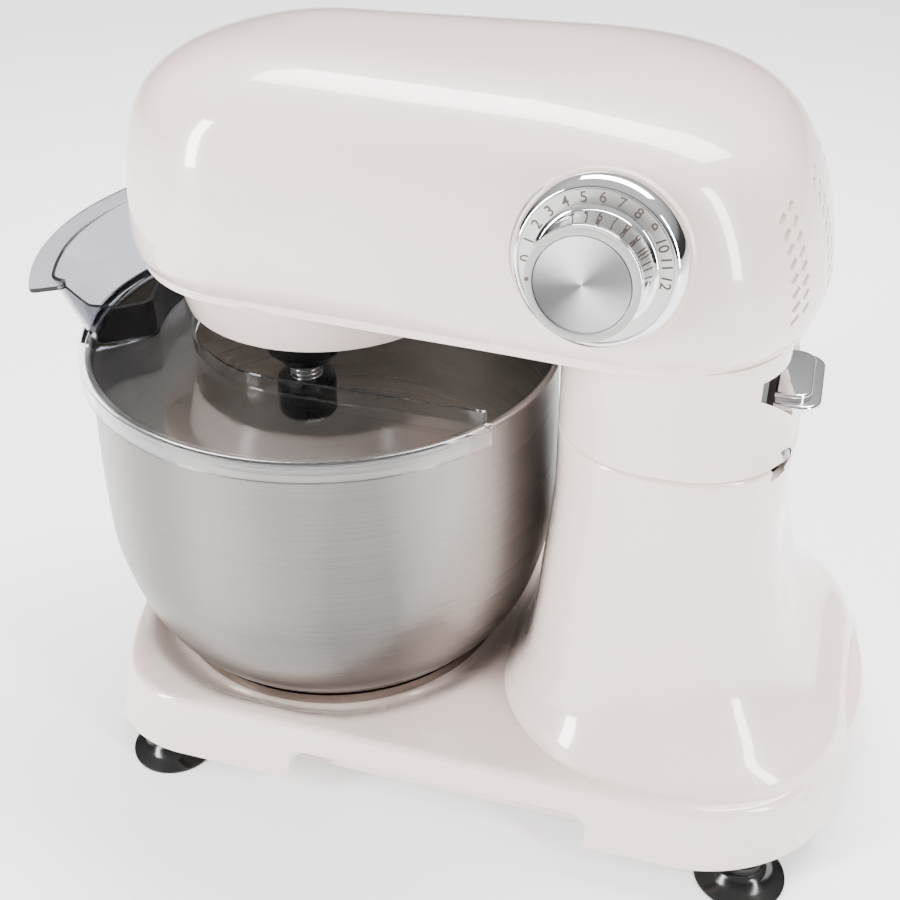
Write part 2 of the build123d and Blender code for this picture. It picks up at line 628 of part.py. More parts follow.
def motor_bracket(x0, boss, pocket):
    """End plate of the motor with a bearing boss on its inner side and a foot on the arm."""
    bracket = disc_x(MOTOR_R, x0, x0 + 4) + disc_x(14.0, *boss)
    bracket += block(x0, x0 + 4, MOTOR_Y - 12, MOTOR_Y + 12, 247.0, MOTOR_Z - 25)
    bracket -= disc_x(11.0, *pocket) + disc_x(4.6, x0 - 1, x0 + 5)
    for y, z in TIE_RODS:
        bracket -= rod_x(2.1, x0 - 1, x0 + 5, y, z)
    for x, y in MOTOR_BOLTS:
        bracket -= tube(1.5, 0, 246, 256, x, y)
    return bracket


def motor_stator():
    core = disc_x(MOTOR_R - 1.0, 34, 66, 21.6)
    for y, z in TIE_RODS:
        core -= rod_x(2.1, 30, 70, y, z)
    return core


def tie_bolts():
    return Compound(children=[
        rod_x(2.0, 9, 99, y, z) + rod_x(3.9, 9, 12, y, z) + rod_x(3.9, 96, 99, y, z) for y, z in TIE_RODS
    ])


def brush_parts(lo, hi, x0, x1, half):
    """Pair of blocks above and below the commutator, from radius lo to hi."""
    top = block(x0, x1, MOTOR_Y - half, MOTOR_Y + half, MOTOR_Z + lo, MOTOR_Z + hi)
    low = block(x0, x1, MOTOR_Y - half, MOTOR_Y + half, MOTOR_Z - hi, MOTOR_Z - lo)
    return Compound(children=[top, low])


def brush_holders():
    holders = []
    for top in (1, -1):
        z0, z1 = sorted((MOTOR_Z + top * 14.3, MOTOR_Z + top * 27.0))
        sleeve = block(74, 92, MOTOR_Y - 5, MOTOR_Y + 5, z0, z1)
        holders.append(sleeve - block(76, 84, MOTOR_Y - 3, MOTOR_Y + 3, z0 - 1, z1 + 1))
    return Compound(children=holders)


def field_coils():
    ring = disc_x(30.5, 66, 73, 22.5)
    return ring & block(60, 80, MOTOR_Y - 15, MOTOR_Y + 15, MOTOR_Z - 40, MOTOR_Z + 40)


def armature():
    core = disc_x(21.0, 34, 66, 4.0)
    slots = []
    for i in range(12):
        a = 2 * pi * i / 12
        place = Pos(50, MOTOR_Y + 20 * cos(a), MOTOR_Z + 20 * sin(a)) * Rot(30.0 * i, 0, 0)
        slots.append(place * Box(34, 7, 2.2))
    return core - slots


def cooling_fan():
    fan = disc_x(9.0, 23.5, 31, 4.0) + disc_x(27.0, 23.5, 25, 4.0)
    for i in range(9):
        a = 2 * pi * i / 9
        place = Pos(27.5, MOTOR_Y + 17 * cos(a), MOTOR_Z + 17 * sin(a)) * Rot(40.0 * i, 0, 0)
        fan += place * Box(7, 18, 1.2)
    return fan


def worm_shaft():
    """Motor shaft with its two-start worm."""
    shaft = disc_x(4.0, -59.0, 98.0) + disc_x(WORM_R - 1.5, -48.0, -14.0)
    path = Helix(WORM_LEAD, 29.0, WORM_R - 1.7)
    tooth = Plane(path @ 0, x_dir=(1, 0, 0), z_dir=path % 0) * Pos(1.4, 0) * Trapezoid(1.9, 2.6, 72, rotation=-90)
    thread = sweep(tooth, path, is_frenet=True)
    for i in range(WORM_STARTS):
        turn = Rot(0, 0, 360 / WORM_STARTS * i)
        shaft += Pos(IDLER_X - 1.75 * WORM_LEAD, MOTOR_Y, MOTOR_Z) * Rot(0, 90, 0) * turn * thread
    return shaft


def worm_wheel():
    """Helical wheel with its teeth slanted to follow the worm's thread."""
    module = 2 * WHEEL_R / WORM_WHEEL_TEETH
    slant = 180 / pi * 4.0 * WORM_LEAD / (2 * pi * WORM_R) / WHEEL_R
    faces = [gear_face(WORM_WHEEL_TEETH, module, turn, z) for turn, z in ((-slant, -4.0), (slant, 4.0))]
    wheel = Pos(IDLER_X, IDLER_Y, MOTOR_Z) * loft(faces, ruled=True)
    return wheel - tube(4.0, 0, 270, 300, IDLER_X, IDLER_Y)


def idler_shaft():
    shaft = tube(4.0, 0, 246.4, 297.5, IDLER_X, IDLER_Y)
    return shaft + gear(PINION_TEETH, 2.0, 264.0, 272.0, IDLER_X, IDLER_Y, IDLER_ANGLE + 180 + 180 / PINION_TEETH)


# ---- planetary drive and tool coupling ---------------------------------------------------
def planet_carrier():
    carrier = tube(58.2, 0, 216.0, 222.0, BOWL_X) + tube(6.0, 0, 221.0, 272.0, BOWL_X)
    carrier += tube(5.0, 0, 271.0, 297.5, BOWL_X) + tube(12.0, 0, 221.0, 226.5, TOOL_X, TOOL_Y)
    return carrier - tube(8.0, 0, 215.0, 227.0, TOOL_X, TOOL_Y)


def drive_boot():
    """Hollow rounded cone round the tool shaft, from the carrier down to its neck."""
    outer = [(20.0, 216.0), (20.4, 211.0), (19.8, 203.0), (17.2, 194.0), (12.5, 188.6), (7.6, 186.4)]
    inner = [(6.5, 186.4), (6.5, 188.5), (11.5, 190.6), (15.6, 195.4), (18.0, 203.5), (18.4, 216.0)]
    return spun(outer + inner, TOOL_X, TOOL_Y)


def tool_shaft():
    shaft = tube(TOOL_SHAFT_R, 0, 160.5, 236.0, TOOL_X, TOOL_Y) + tube(7.4, 0, 185.2, 186.0, TOOL_X, TOOL_Y)
    shaft -= tube(SOCKET_R, 0, 159.0, 178.0, TOOL_X, TOOL_Y)
    return shaft - gear_pin(10.0)


def gear_pin(reach):
    """Cross pin that keys the planet gear to the tool shaft."""
    return rod_x(1.2, TOOL_X - reach, TOOL_X + reach, TOOL_Y, 232.0)


def planet_gear():
    wheel = gear(PLANET_TEETH, TOOL_SHAFT_R, 229.0, 235.0, TOOL_X, TOOL_Y, TOOL_ANGLE)
    return wheel - gear_pin(12.0)


def tool_coupling():
    """Sprung collar: cup for the spring above, cup for the end of a beater below."""
    outside = [(10.5, 159.0), (12.3, 159.0), (13.5, 160.6), (13.5, 176.6), (12.8, 178.8), (10.8, 180.0)]
    inside = [(8.2, 180.0), (8.2, 173.0), (TOOL_SHAFT_R + 0.08, 173.0), (TOOL_SHAFT_R + 0.08, 171.0), (10.5, 171.0)]
    return spun(outside + inside, TOOL_X, TOOL_Y)


def coupling_spring():
    return Pos(TOOL_X, TOOL_Y, 173.6) * coil(7.05, 0.45, 2.2, 5)


# ---- speed dial and release lever -----------------------------------------------------------
def dial_disc(r, w0, w1, bore=0.0):
    """Disc or tube on the dial's axis, w measured outward from the head's dial seat."""
    disc = Pos(0, 0, (w0 + w1) / 2) * Cylinder(r, w1 - w0)
    if bore > 0:
        disc -= Pos(0, 0, (w0 + w1) / 2) * Cylinder(bore, w1 - w0 + 1)
    return dial_place() * disc


def speed_switch():
    body = dial_disc(11.0, -21.2, -7.0) + dial_disc(5.0, -8.0, NUMBERS_W)
    return body - dial_disc(3.0 + FIT, -15.0, NUMBERS_W + 1)


def control_board():
    board = Box(64, 40, 1.6)
    for x, y, wide, tall, deep in ((-18, 8, 14, 12, 7), (10, -8, 20, 10, 6), (22, 11, 9, 9, 5)):
        board += Pos(x, y, -0.8 - deep / 2) * Box(wide, tall, deep)
    return dial_place() * Pos(0, 0, -22.0) * board


def dial_lathe(points):
    """Ring turned about the dial's axis from (radius, height) points."""
    face = make_face(Polyline(*[(r, 0, w) for r, w in points], close=True))
    return dial_place() * revolve(face, Axis.Z)


def dial_flange():
    """Domed ring, with the numbers on its flat top."""
    dome = [(DIAL_R, 0), (DIAL_R, 1.2), (32.0, 3.4), (31.0, 5.6), (29.8, 7.2), (28.8, 7.8), (28.2, NUMBERS_W)]
    return dial_lathe([(5, 0)] + dome + [(5, NUMBERS_W)])


def dial_knob():
    """Slightly tapered knob with a lip round its foot."""
    foot = NUMBERS_W + 0.6
    lip = [(0, foot), (22.6, foot), (23.0, foot + 0.5), (23.0, foot + 1.4), (21.4, foot + 2.4)]
    return dial_lathe(lip + [(20.6, 14), (20.3, 25), (0, 25)]) - dial_disc(3.0, 2.0, 22.0)


def release_lever():
    """Stepped lever plate with a narrow root that runs forward to the pin."""
    plate = block(129, LEVER_TIP_X, -LEVER_HALF, LEVER_HALF, LEVER_Z, LEVER_Z + 2.6)
    plate = fillet(plate.edges().filter_by(Axis.Z).group_by(Axis.X)[-1], 8.0)
    step = block(129, LEVER_TIP_X - 4.5, -LEVER_HALF + 4, LEVER_HALF - 4, LEVER_Z + 2.6, LEVER_Z + 5.4)
    step = fillet(step.edges().filter_by(Axis.Z).group_by(Axis.X)[-1], 6.0)
    root = block(LEVER_X, 130, -12, 12, 201.0, 207.0) + rod_y(5.5, -12, 12, LEVER_X, LEVER_PIN_Z)
    return plate + step + root - rod_y(2.0 + FIT, -20, 20, LEVER_X, LEVER_PIN_Z)


def latch_hook():
    """Stirrup from the lever's pin forward and down to a nose under the striker."""
    hook = block(66, 69, -15.2, 15.2, 172.4, 208.0) + block(58, 67, -15.2, 15.2, 172.4, 174.9)
    for side in (-1, 1):
        y0, y1 = sorted((side * 12.0, side * 15.2))
        hook += block(66, LEVER_X, y0, y1, 203.0, 208.0) + rod_y(5.5, y0, y1, LEVER_X, LEVER_PIN_Z)
    return hook - rod_y(2.0 + FIT, -20, 20, LEVER_X, LEVER_PIN_Z)


def lever_spring():
    return Pos(LEVER_X, 15.9, LEVER_PIN_Z) * Rot(-90, 0, 0) * coil(3.3, 0.45, 1.15, 2.6)


# ---- everything, one node each -------------------------------------------------------------
base_screws = [
    screws(BASE_BOSSES, 14.8, 14.0),
    screws(SEAT_SCREWS, DISH_FLOOR + 1.6, 6.0, up=-1),
]
head_screws = [
    screws(COVER_SCREWS, HEAD_BOTTOM - 3.8, 12.0),
    screws(PILLARS, 298.0, 10.0, up=-1),
    screws(ARM_BOLTS, 247.0, 7.5, up=-1),
    screws(MOTOR_BOLTS, 243.0, 10.0),
]

PARTS = {
    "base_housing": base_housing(),
    "bottom_plate": bottom_plate(),
    "suction_feet": Compound(children=[suction_foot(x, y) for x, y in FEET]),
    "base_screws": Compound(children=base_screws),
    "bowl_seat": bowl_seat(),
    "column_frame": column_frame(),
    "frame_bolts": frame_bolts(),
    "hinge_pin": rod_y(PIN_R, -42, 42, HINGE_X, HINGE_Z),
    "latch_striker": rod_y(2.5, -EAR_Y1, EAR_Y1, STRIKER_X, STRIKER_Z),
    "cord_gland": cord_gland(),
    "head_top_cover": head_top_cover(),
    "head_lower_cover": head_lower_cover(),
    "head_screws": Compound(children=head_screws),
    "gear_housing": gear_housing(),
    "gearbox_lid": gearbox_lid(),
    "ring_gear": ring_gear(RING_TEETH, 36.0, 228.0, 236.0, TOOL_ANGLE),
    "planet_bearings": tube(11, 6.0 + FIT, 249.5, 254.5, BOWL_X) + tube(11, 6.0 + FIT, 256.5, 261.5, BOWL_X),
    "hinge_arm": hinge_arm(),
    "lever_pin": rod_y(2.0, -31, 31, LEVER_X, LEVER_PIN_Z),
    "lever_spring": lever_spring(),
    "lever_shroud": lever_shroud(),
    "motor_bracket_front": motor_bracket(12, (16, 22), (13, 22)),
    "motor_bracket_rear": motor_bracket(92, (86, 92), (86, 95)),
    "motor_stator": motor_stator(),
    "field_coils": field_coils(),
    "tie_bolts": tie_bolts(),
    "brush_holders": brush_holders(),
    "carbon_brushes": brush_parts(10.3, 25.0, 76, 84, 3.0),
    "rotor_bearings": disc_x(11, 14, 21, 4.0 + FIT) + disc_x(11, 87, 94, 4.0 + FIT) + disc_x(8, -60, -52, 4.0 + FIT),
    "control_board": control_board(),
    "speed_switch": speed_switch(),
    "dial_flange": dial_flange(),
    "dial_knob": dial_knob(),
    "dial_bezel": dial_disc(20.3, 25.0, 27.0, 17.6),
    "dial_cap": dial_disc(17.6, 25.0, 26.4),
    "dial_shaft": dial_disc(3.0, -14.0, 22.0),
    "release_lever": release_lever(),
    "latch_hook": latch_hook(),
    "worm_shaft": worm_shaft(),
    "armature": armature(),
    "rotor_windings": disc_x(17.0, 66, 72, 4.0),
    "commutator": disc_x(10.0, 74, 84, 4.0),
    "cooling_fan": cooling_fan(),
    "worm_wheel": worm_wheel(),
    "idler_shaft": idler_shaft(),
    "planet_carrier": planet_carrier(),
    "main_gear": gear(MAIN_TEETH, 6.0, 264.0, 271.0, BOWL_X, 0.0, IDLER_ANGLE),
    "tool_bearing": tube(8.0, TOOL_SHAFT_R + FIT, 216.0, 226.5, TOOL_X, TOOL_Y),
    "drive_boot": drive_boot(),
    "tool_shaft": tool_shaft(),
    "planet_gear": planet_gear(),
    "gear_pin": gear_pin(8.3),
    "coupling_spring": coupling_spring(),
    "tool_coupling": tool_coupling(),
    "bowl": bowl(),
    "bowl_foot_ring": bowl_foot(),
    "splash_guard": splash_guard(),
    "pouring_chute": pouring_chute(),
}

for name, shape in PARTS.items():
    save(shape, name)
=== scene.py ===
import json
from math import cos, hypot, pi, radians, sin, sqrt

import bmesh
import bpy
from mathutils import Matrix, Vector


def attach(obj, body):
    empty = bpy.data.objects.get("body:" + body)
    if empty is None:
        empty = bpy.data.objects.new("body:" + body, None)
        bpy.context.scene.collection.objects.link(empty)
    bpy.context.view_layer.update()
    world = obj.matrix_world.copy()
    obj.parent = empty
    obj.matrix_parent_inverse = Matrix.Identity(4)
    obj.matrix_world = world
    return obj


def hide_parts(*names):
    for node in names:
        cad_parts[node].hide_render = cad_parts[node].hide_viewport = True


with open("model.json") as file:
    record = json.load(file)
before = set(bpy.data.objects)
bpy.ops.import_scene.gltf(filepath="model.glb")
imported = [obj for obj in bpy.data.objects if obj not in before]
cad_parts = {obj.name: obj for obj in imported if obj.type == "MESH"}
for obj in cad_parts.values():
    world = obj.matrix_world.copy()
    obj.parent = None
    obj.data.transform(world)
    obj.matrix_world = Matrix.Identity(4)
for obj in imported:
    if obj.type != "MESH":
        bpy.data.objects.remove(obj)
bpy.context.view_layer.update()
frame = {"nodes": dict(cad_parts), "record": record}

# Shapes are in millimetres, and MM takes them to metres. Materials, lights and the camera are in metres.
MM = 0.001
BOWL_X = -74.0                 # axis of the bowl
WALL = 3.0                     # thickness of the moulded shells
HINGE_X, HINGE_Z = 136.5, 187.4


# ---- materials -------------------------------------------------------------------------
class Nodes:
    """Small helper that adds and links shader nodes."""

    def __init__(self, name):
        self.mat = bpy.data.materials.new(name)
        self.mat.use_nodes = True
        self.tree = self.mat.node_tree
        self.shader = self.tree.nodes["Principled BSDF"]
        self.coord = self.tree.nodes.new("ShaderNodeTexCoord").outputs["Object"]

    def set(self, **values):
        for name, value in values.items():
            self.shader.inputs[name.replace("_", " ")].default_value = value

    def add(self, kind, **values):
        node = self.tree.nodes.new(kind)
        for name, value in values.items():
            if name in node.inputs:
                node.inputs[name].default_value = value
            else:
                setattr(node, name, value)
        return node

    def link(self, out, into):
        self.tree.links.new(out, into)

    def mapped(self, scale):
        node = self.add("ShaderNodeMapping")
        node.inputs["Scale"].default_value = scale
        self.link(self.coord, node.inputs["Vector"])
        return node.outputs["Vector"]

    def noise(self, scale, detail=3.0, stretch=(1, 1, 1)):
        node = self.add("ShaderNodeTexNoise", Scale=scale, Detail=detail)
        self.link(self.mapped(stretch), node.inputs["Vector"])
        return node.outputs["Fac"]

    def span(self, fac, low, high, start=0.3, end=0.7):
        """Stretch start..end of a value to low..high."""
        node = self.add("ShaderNodeMapRange")
        for name, value in (("From Min", start), ("From Max", end), ("To Min", low), ("To Max", high)):
            node.inputs[name].default_value = value
        self.link(fac, node.inputs["Value"])
        return node.outputs["Result"]

    def blend(self, fac, a, b):
        """Base colour from a to b."""
        node = self.add("ShaderNodeMix", data_type="RGBA")
        for socket, value in (("A", a), ("B", b)):
            for item in node.inputs:
                if item.name == socket and item.type == "RGBA":
                    item.default_value = (*value, 1)
        self.link(fac, node.inputs["Factor"])
        out = [o for o in node.outputs if o.type == "RGBA"][0]
        self.link(out, self.shader.inputs["Base Color"])

    def rough(self, fac, low, high):
        self.link(self.span(fac, low, high), self.shader.inputs["Roughness"])

    def bump(self, fac, strength, distance=0.0002):
        node = self.add("ShaderNodeBump", Strength=strength, Distance=distance)
        self.link(fac, node.inputs["Height"])
        self.link(node.outputs["Normal"], self.shader.inputs["Normal"])


def grey(value):
    return (value, value, value)


def enamel(name, light, dark):
    m = Nodes(name)
    m.set(Coat_Weight=1.0, Coat_Roughness=0.04, IOR=1.5, Specular_IOR_Level=0.4)
    m.blend(m.noise(7.0, 2.0), dark, light)
    m.rough(m.noise(50.0), 0.22, 0.3)
    m.bump(m.noise(1500.0, 2.0), 0.008, 0.00005)
    return m.mat


def plastic(name, light, dark, low=0.35, high=0.5, grain=0.12):
    m = Nodes(name)
    m.blend(m.noise(40.0), dark, light)
    m.rough(m.noise(150.0), low, high)
    m.bump(m.noise(2600.0, 2.0), grain, 0.0001)
    return m.mat


def metal(name, light, dark, low, high, stretch=(1, 1, 1), scale=60.0, strength=0.05, detail=4.0):
    m = Nodes(name)
    m.set(Metallic=1.0)
    grain = m.noise(scale, detail, stretch)
    m.blend(grain, dark, light)
    m.rough(grain, low, high)
    m.bump(grain, strength, 0.0001)
    return m.mat


def brushed(name, light, dark):
    """Steel with fine horizontal brush lines, and broad upright bands of painted sheen in the base colour.
    """
    m = Nodes(name)
    m.set(Metallic=1.0, Anisotropic=0.6)
    lines = m.noise(5.0, 6.0, (1, 1, 400))
    # painted sheen: broad upright light and dark bands standing in for reflections, 70 % of the colour
    bands = m.span(m.noise(13.0, 1.0, (1, 1, 0.12)), 0.0, 1.0, 0.36, 0.62)
    mixed = m.add("ShaderNodeMix", data_type="FLOAT", Factor=0.3)
    m.link(bands, mixed.inputs["A"])
    m.link(lines, mixed.inputs["B"])
    tangent = m.add("ShaderNodeTangent", direction_type="RADIAL", axis="Z")
    m.link(tangent.outputs["Tangent"], m.shader.inputs["Tangent"])
    m.blend(mixed.outputs["Result"], dark, light)
    m.rough(lines, 0.26, 0.36)
    m.bump(lines, 0.015, 0.00005)
    return m.mat


def clear(name, tint, shade, rough):
    m = Nodes(name)
    m.set(Transmission_Weight=1.0, IOR=1.46)
    m.blend(m.noise(14.0, 2.0), shade, tint)
    m.rough(m.noise(90.0), rough, rough + 0.05)
    m.bump(m.noise(500.0, 2.0), 0.01, 0.0001)
    return m.mat


def spun_face(name, centre, right, up, light, dark):
    """Metal turned on a lathe: fine rings, and a painted sheen that comes and goes four times round the
    axis.
    """
    m = Nodes(name)
    m.set(Metallic=1.0)
    sub = m.add("ShaderNodeVectorMath", operation="SUBTRACT")
    m.link(m.coord, sub.inputs[0])
    sub.inputs[1].default_value = centre
    parts = []
    for axis in (right, up):
        dot = m.add("ShaderNodeVectorMath", operation="DOT_PRODUCT")
        m.link(sub.outputs["Vector"], dot.inputs[0])
        dot.inputs[1].default_value = axis
        parts.append(dot.outputs["Value"])

    def math(operation, first, second=None, value=0.0):
        node = m.add("ShaderNodeMath", operation=operation)
        m.link(first, node.inputs[0])
        if second is not None:
            m.link(second, node.inputs[1])
        else:
            node.inputs[1].default_value = value
        return node.outputs["Value"]

    angle = math("ARCTAN2", parts[1], parts[0])
    # painted sheen: the base colour swings light and dark with the angle round the axis, standing in for
    # reflected light
    painted_sheen = math("SINE", math("ADD", math("MULTIPLY", angle, value=2.0), value=-2.5))
    squares = math("ADD", math("MULTIPLY", parts[0], parts[0]), math("MULTIPLY", parts[1], parts[1]))
    rings = math("SINE", math("MULTIPLY", math("SQRT", squares), value=9000.0))
    mixed = math("ADD", painted_sheen, math("MULTIPLY", rings, value=0.08))
    m.blend(m.span(mixed, 0.0, 1.0, -0.9, 0.9), dark, light)
    m.rough(rings, 0.28, 0.36)
    m.bump(rings, 0.05, 0.00004)
    return m.mat


# Centre and axes of the dial's cap, which its rings and painted sheen follow.
FACE_CENTRE = (0.0632, -0.1056, 0.2853)
FACE_RIGHT = (0.9986, -0.0523, 0)
FACE_UP = (0.0055, 0.1044, 0.9945)

MATS = {
    "body_enamel": enamel("cream_enamel", (0.80, 0.665, 0.61), (0.785, 0.65, 0.595)),
    "base_plastic": plastic("taupe_plastic", (0.50, 0.45, 0.42), (0.46, 0.41, 0.38)),
    "foot_rubber": plastic("foot_rubber", grey(0.005), grey(0.003), 0.16, 0.24, 0.03),
    "black_plastic": plastic("black_plastic", grey(0.006), grey(0.003), 0.25, 0.35, 0.04),
    "zinc_screw": metal("zinc_screw", (0.6, 0.6, 0.58), (0.5, 0.5, 0.48), 0.3, 0.45, scale=300.0),
    "pressed_steel": metal("pressed_steel", grey(0.5), grey(0.42), 0.3, 0.5, scale=200.0),
    "cast_alloy": metal("cast_alloy", grey(0.55), grey(0.45), 0.45, 0.6, scale=900.0, strength=0.2),
    "gear_steel": metal("gear_steel", grey(0.45), grey(0.35), 0.25, 0.4, scale=400.0),
    "gear_nylon": plastic("gear_nylon", (0.8, 0.78, 0.7), (0.75, 0.72, 0.64)),
    "copper": metal("copper_wire", (0.6, 0.25, 0.1), (0.45, 0.17, 0.06), 0.3, 0.5, (1, 1, 6), 400.0, 0.3),
    "carbon": plastic("carbon", grey(0.03), grey(0.02), 0.6, 0.8),
    "circuit_board": plastic("circuit_board", (0.02, 0.12, 0.04), (0.015, 0.08, 0.03)),
    "spring_steel": metal("spring_steel", grey(0.6), grey(0.5), 0.15, 0.3, scale=500.0),
    "polished_chrome": metal("chrome", (0.80, 0.80, 0.81), (0.76, 0.76, 0.77), 0.03, 0.07,
                             scale=30.0, strength=0.004),
    "dial_silver": metal("dial_silver", (0.74, 0.73, 0.71), (0.70, 0.69, 0.67), 0.3, 0.36,
                         scale=700.0, strength=0.02),
    "dial_grey": plastic("dial_grey", (0.36, 0.35, 0.34), (0.33, 0.32, 0.31), 0.25, 0.35, 0.03),
    # bowl steel: painted sheen bands between these light and dark colours, over real brush lines
    "bowl_steel": brushed("bowl_steel", (0.34, 0.325, 0.31), (0.105, 0.099, 0.094)),
    # inside of the bowl: a lighter, lit copy of the same steel, painted light
    "bowl_inside_lit_copy": brushed("bowl_inside_lit_copy", (0.62, 0.60, 0.57), (0.42, 0.40, 0.38)),
    "foot_ring_steel": metal("foot_ring_steel", (0.30, 0.26, 0.23), (0.22, 0.19, 0.17), 0.1, 0.2),
    "clear_plastic": clear("clear_plastic", (0.96, 0.965, 0.97), (0.93, 0.935, 0.94), 0.02),
    "clear_grey_plastic": clear("clear_grey_plastic", (0.36, 0.36, 0.40), (0.33, 0.33, 0.37), 0.04),
    # dial cap: light and dark sectors of painted sheen between these colours, with fine lathe rings
    "spun_metal": spun_face("spun_metal", FACE_CENTRE, FACE_RIGHT, FACE_UP,
                            (0.72, 0.73, 0.74), (0.16, 0.16, 0.165)),
    "numeral": plastic("numeral_ink", (0.09, 0.065, 0.055), (0.07, 0.05, 0.04)),
}


# ---- mesh helpers ----------------------------------------------------------------------
def finish_mesh(obj, smooth_angle=40.0):
    mesh = obj.data
    for polygon in mesh.polygons:
        polygon.use_smooth = True
    mesh.set_sharp_from_angle(angle=radians(smooth_angle))


def make_object(name, verts, faces, slot, body, replaced=(), smooth_angle=40.0):
    """Mesh piece from points in millimetres, riding on a body."""
    mesh = bpy.data.meshes.new(name)
    mesh.from_pydata([[c * MM for c in v] for v in verts], [], faces)
    mesh.validate()
    bm = bmesh.new()
    bm.from_mesh(mesh)
    bmesh.ops.remove_doubles(bm, verts=bm.verts, dist=1e-6)
    bmesh.ops.recalc_face_normals(bm, faces=bm.faces)
    bm.to_mesh(mesh)
    bm.free()
    obj = bpy.data.objects.new(name, mesh)
    bpy.context.scene.collection.objects.link(obj)
    mesh.materials.append(MATS[slot])
    finish_mesh(obj, smooth_angle)
    place(obj, body, replaced)
    return obj


def place(obj, body, replaced=()):
    """Attach a piece to its body and hide the CAD nodes that it replaces."""
    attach(obj, body)
    if replaced:
        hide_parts(*replaced)


def rings_to_faces(rings, cap_first=True, cap_last=True):
    """Points and faces through closed rings of equal length, with or without the two end faces."""
    count = len(rings[0])
    verts = [p for ring in rings for p in ring]
    faces = []
    for i in range(len(rings) - 1):
        for j in range(count):
            k = (j + 1) % count
            faces.append((i * count + j, i * count + k, (i + 1) * count + k, (i + 1) * count + j))
    if cap_first:
        faces.append(tuple(range(count))[::-1])
    if cap_last:
        last = (len(rings) - 1) * count
        faces.append(tuple(range(last, last + count)))
    return verts, faces


def spun(profile, x=0.0, y=0.0, count=96):
    """Rings of a closed or open (r, z) profile about a vertical axis."""
    angles = [2 * pi * i / count for i in range(count)]
    rings = []
    for r, z in profile:
        r = max(r, 1e-4)
        rings.append([(x + r * cos(a), y + r * sin(a), z) for a in angles])
    return rings


def spun_object(name, profile, slot, body, x=0.0, y=0.0, replaced=(), closed=True, count=96,
                smooth_angle=40.0):
    """Mesh piece turned from a profile, which is joined end to start if closed."""
    rings = spun(profile, x, y, count)
    if closed:
        rings.append(rings[0])
    verts, faces = rings_to_faces(rings, False, False)
    return make_object(name, verts, faces, slot, body, replaced, smooth_angle)


def arc(cx, cz, r, a0, a1, steps=6):
    """Points on an arc in the profile plane, angles in degrees."""
    pts = []
    for i in range(steps + 1):
        a = radians(a0 + (a1 - a0) * i / steps)
        pts.append((cx + r * cos(a), cz + r * sin(a)))
    return pts


def between(a, b, c, d, t):
    """Catmull-Rom value between b and c."""
    slope = (c - a) * t
    bend = (2 * a - 5 * b + 4 * c - d) * t * t
    twist = (3 * b - a - 3 * c + d) * t ** 3
    return 0.5 * (2 * b + slope + bend + twist)


def catmull(table, per_span):
    """Rows between the rows of a table, on a Catmull-Rom curve through them."""
    rows = []
    last = len(table) - 1
    for i in range(last):
        p0, p1, p2, p3 = (table[min(max(k, 0), last)] for k in (i - 1, i, i + 1, i + 2))
        for s in range(per_span):
            rows.append([between(a, b, c, d, s / per_span) for a, b, c, d in zip(p0, p1, p2, p3)])
    rows.append(list(table[-1]))
    return rows


def rod(bm, r, length, matrix, segments):
    """Closed cylinder along the matrix's own z axis."""
    bmesh.ops.create_cone(bm, cap_ends=True, segments=segments, radius1=r * MM, radius2=r * MM,
                          depth=length * MM, matrix=matrix)


# ---- head ------------------------------------------------------------------------------
HEAD_BOTTOM = 239.0            # lower edge of the upper cover
LIP = 0.9                      # rounding of that edge
SQUARENESS = 2.3               # power of the rear's rounded plan; 2 would be an ellipse
# (z, front x, rear x, front half width, rear half width, end of the front curve, start of the rear curve)
HEAD = [
    (239.0, -154.5, 142.0, 68.0, 76.5, -89.5, 71.0),
    (246.0, -156.0, 144.5, 71.5, 80.3, -89.5, 71.0),
    (256.0, -156.0, 145.5, 73.3, 82.3, -89.5, 71.0),
    (270.0, -155.0, 143.5, 72.8, 81.6, -89.0, 71.0),
    (286.0, -153.0, 139.0, 71.0, 80.0, -88.0, 69.0),
    (300.0, -149.0, 132.5, 69.0, 78.2, -87.0, 66.0),
    (310.0, -143.5, 125.5, 66.0, 75.5, -85.0, 62.0),
    (318.0, -134.5, 115.5, 60.5, 70.0, -82.0, 56.0),
    (324.0, -122.0, 102.0, 52.5, 61.5, -77.0, 47.0),
    (328.5, -105.0, 83.0, 41.0, 48.0, -70.0, 35.0),
    (331.0, -84.0, 58.0, 26.0, 31.0, -60.0, 20.0),
    (331.5, -50.0, 25.0, 8.0, 9.0, -35.0, 5.0),
]


def oval_ring(row, inset=0.0, quarter=26, side=20):
    """Plan of the head at one height: a half ellipse in front, tapered sides and a squarer rear."""
    z, front, rear, half_f, half_r, front_end, rear_start = row
    front, rear, half_f, half_r = front + inset, rear - inset, half_f - inset, half_r - inset
    pts = []
    for i in range(quarter + 1):
        a = pi / 2 * i / quarter
        pts.append((front_end - (front_end - front) * cos(a), half_f * sin(a)))
    for i in range(1, side):
        t = i / side
        blend = t * t * (3 - 2 * t) * 0.25 + t * 0.75
        pts.append((front_end + t * (rear_start - front_end), half_f + blend * (half_r - half_f)))
    for i in range(quarter + 1):
        a = pi / 2 * (1 - i / quarter)
        x = rear_start + (rear - rear_start) * cos(a) ** (2 / SQUARENESS)
        pts.append((x, half_r * sin(a) ** (2 / SQUARENESS)))
    pts[-1] = (rear, 0.0)
    loop = [(x, -y) for x, y in pts] + [(x, y) for x, y in reversed(pts[1:-1])]
    return [(x, y, z) for x, y in loop]


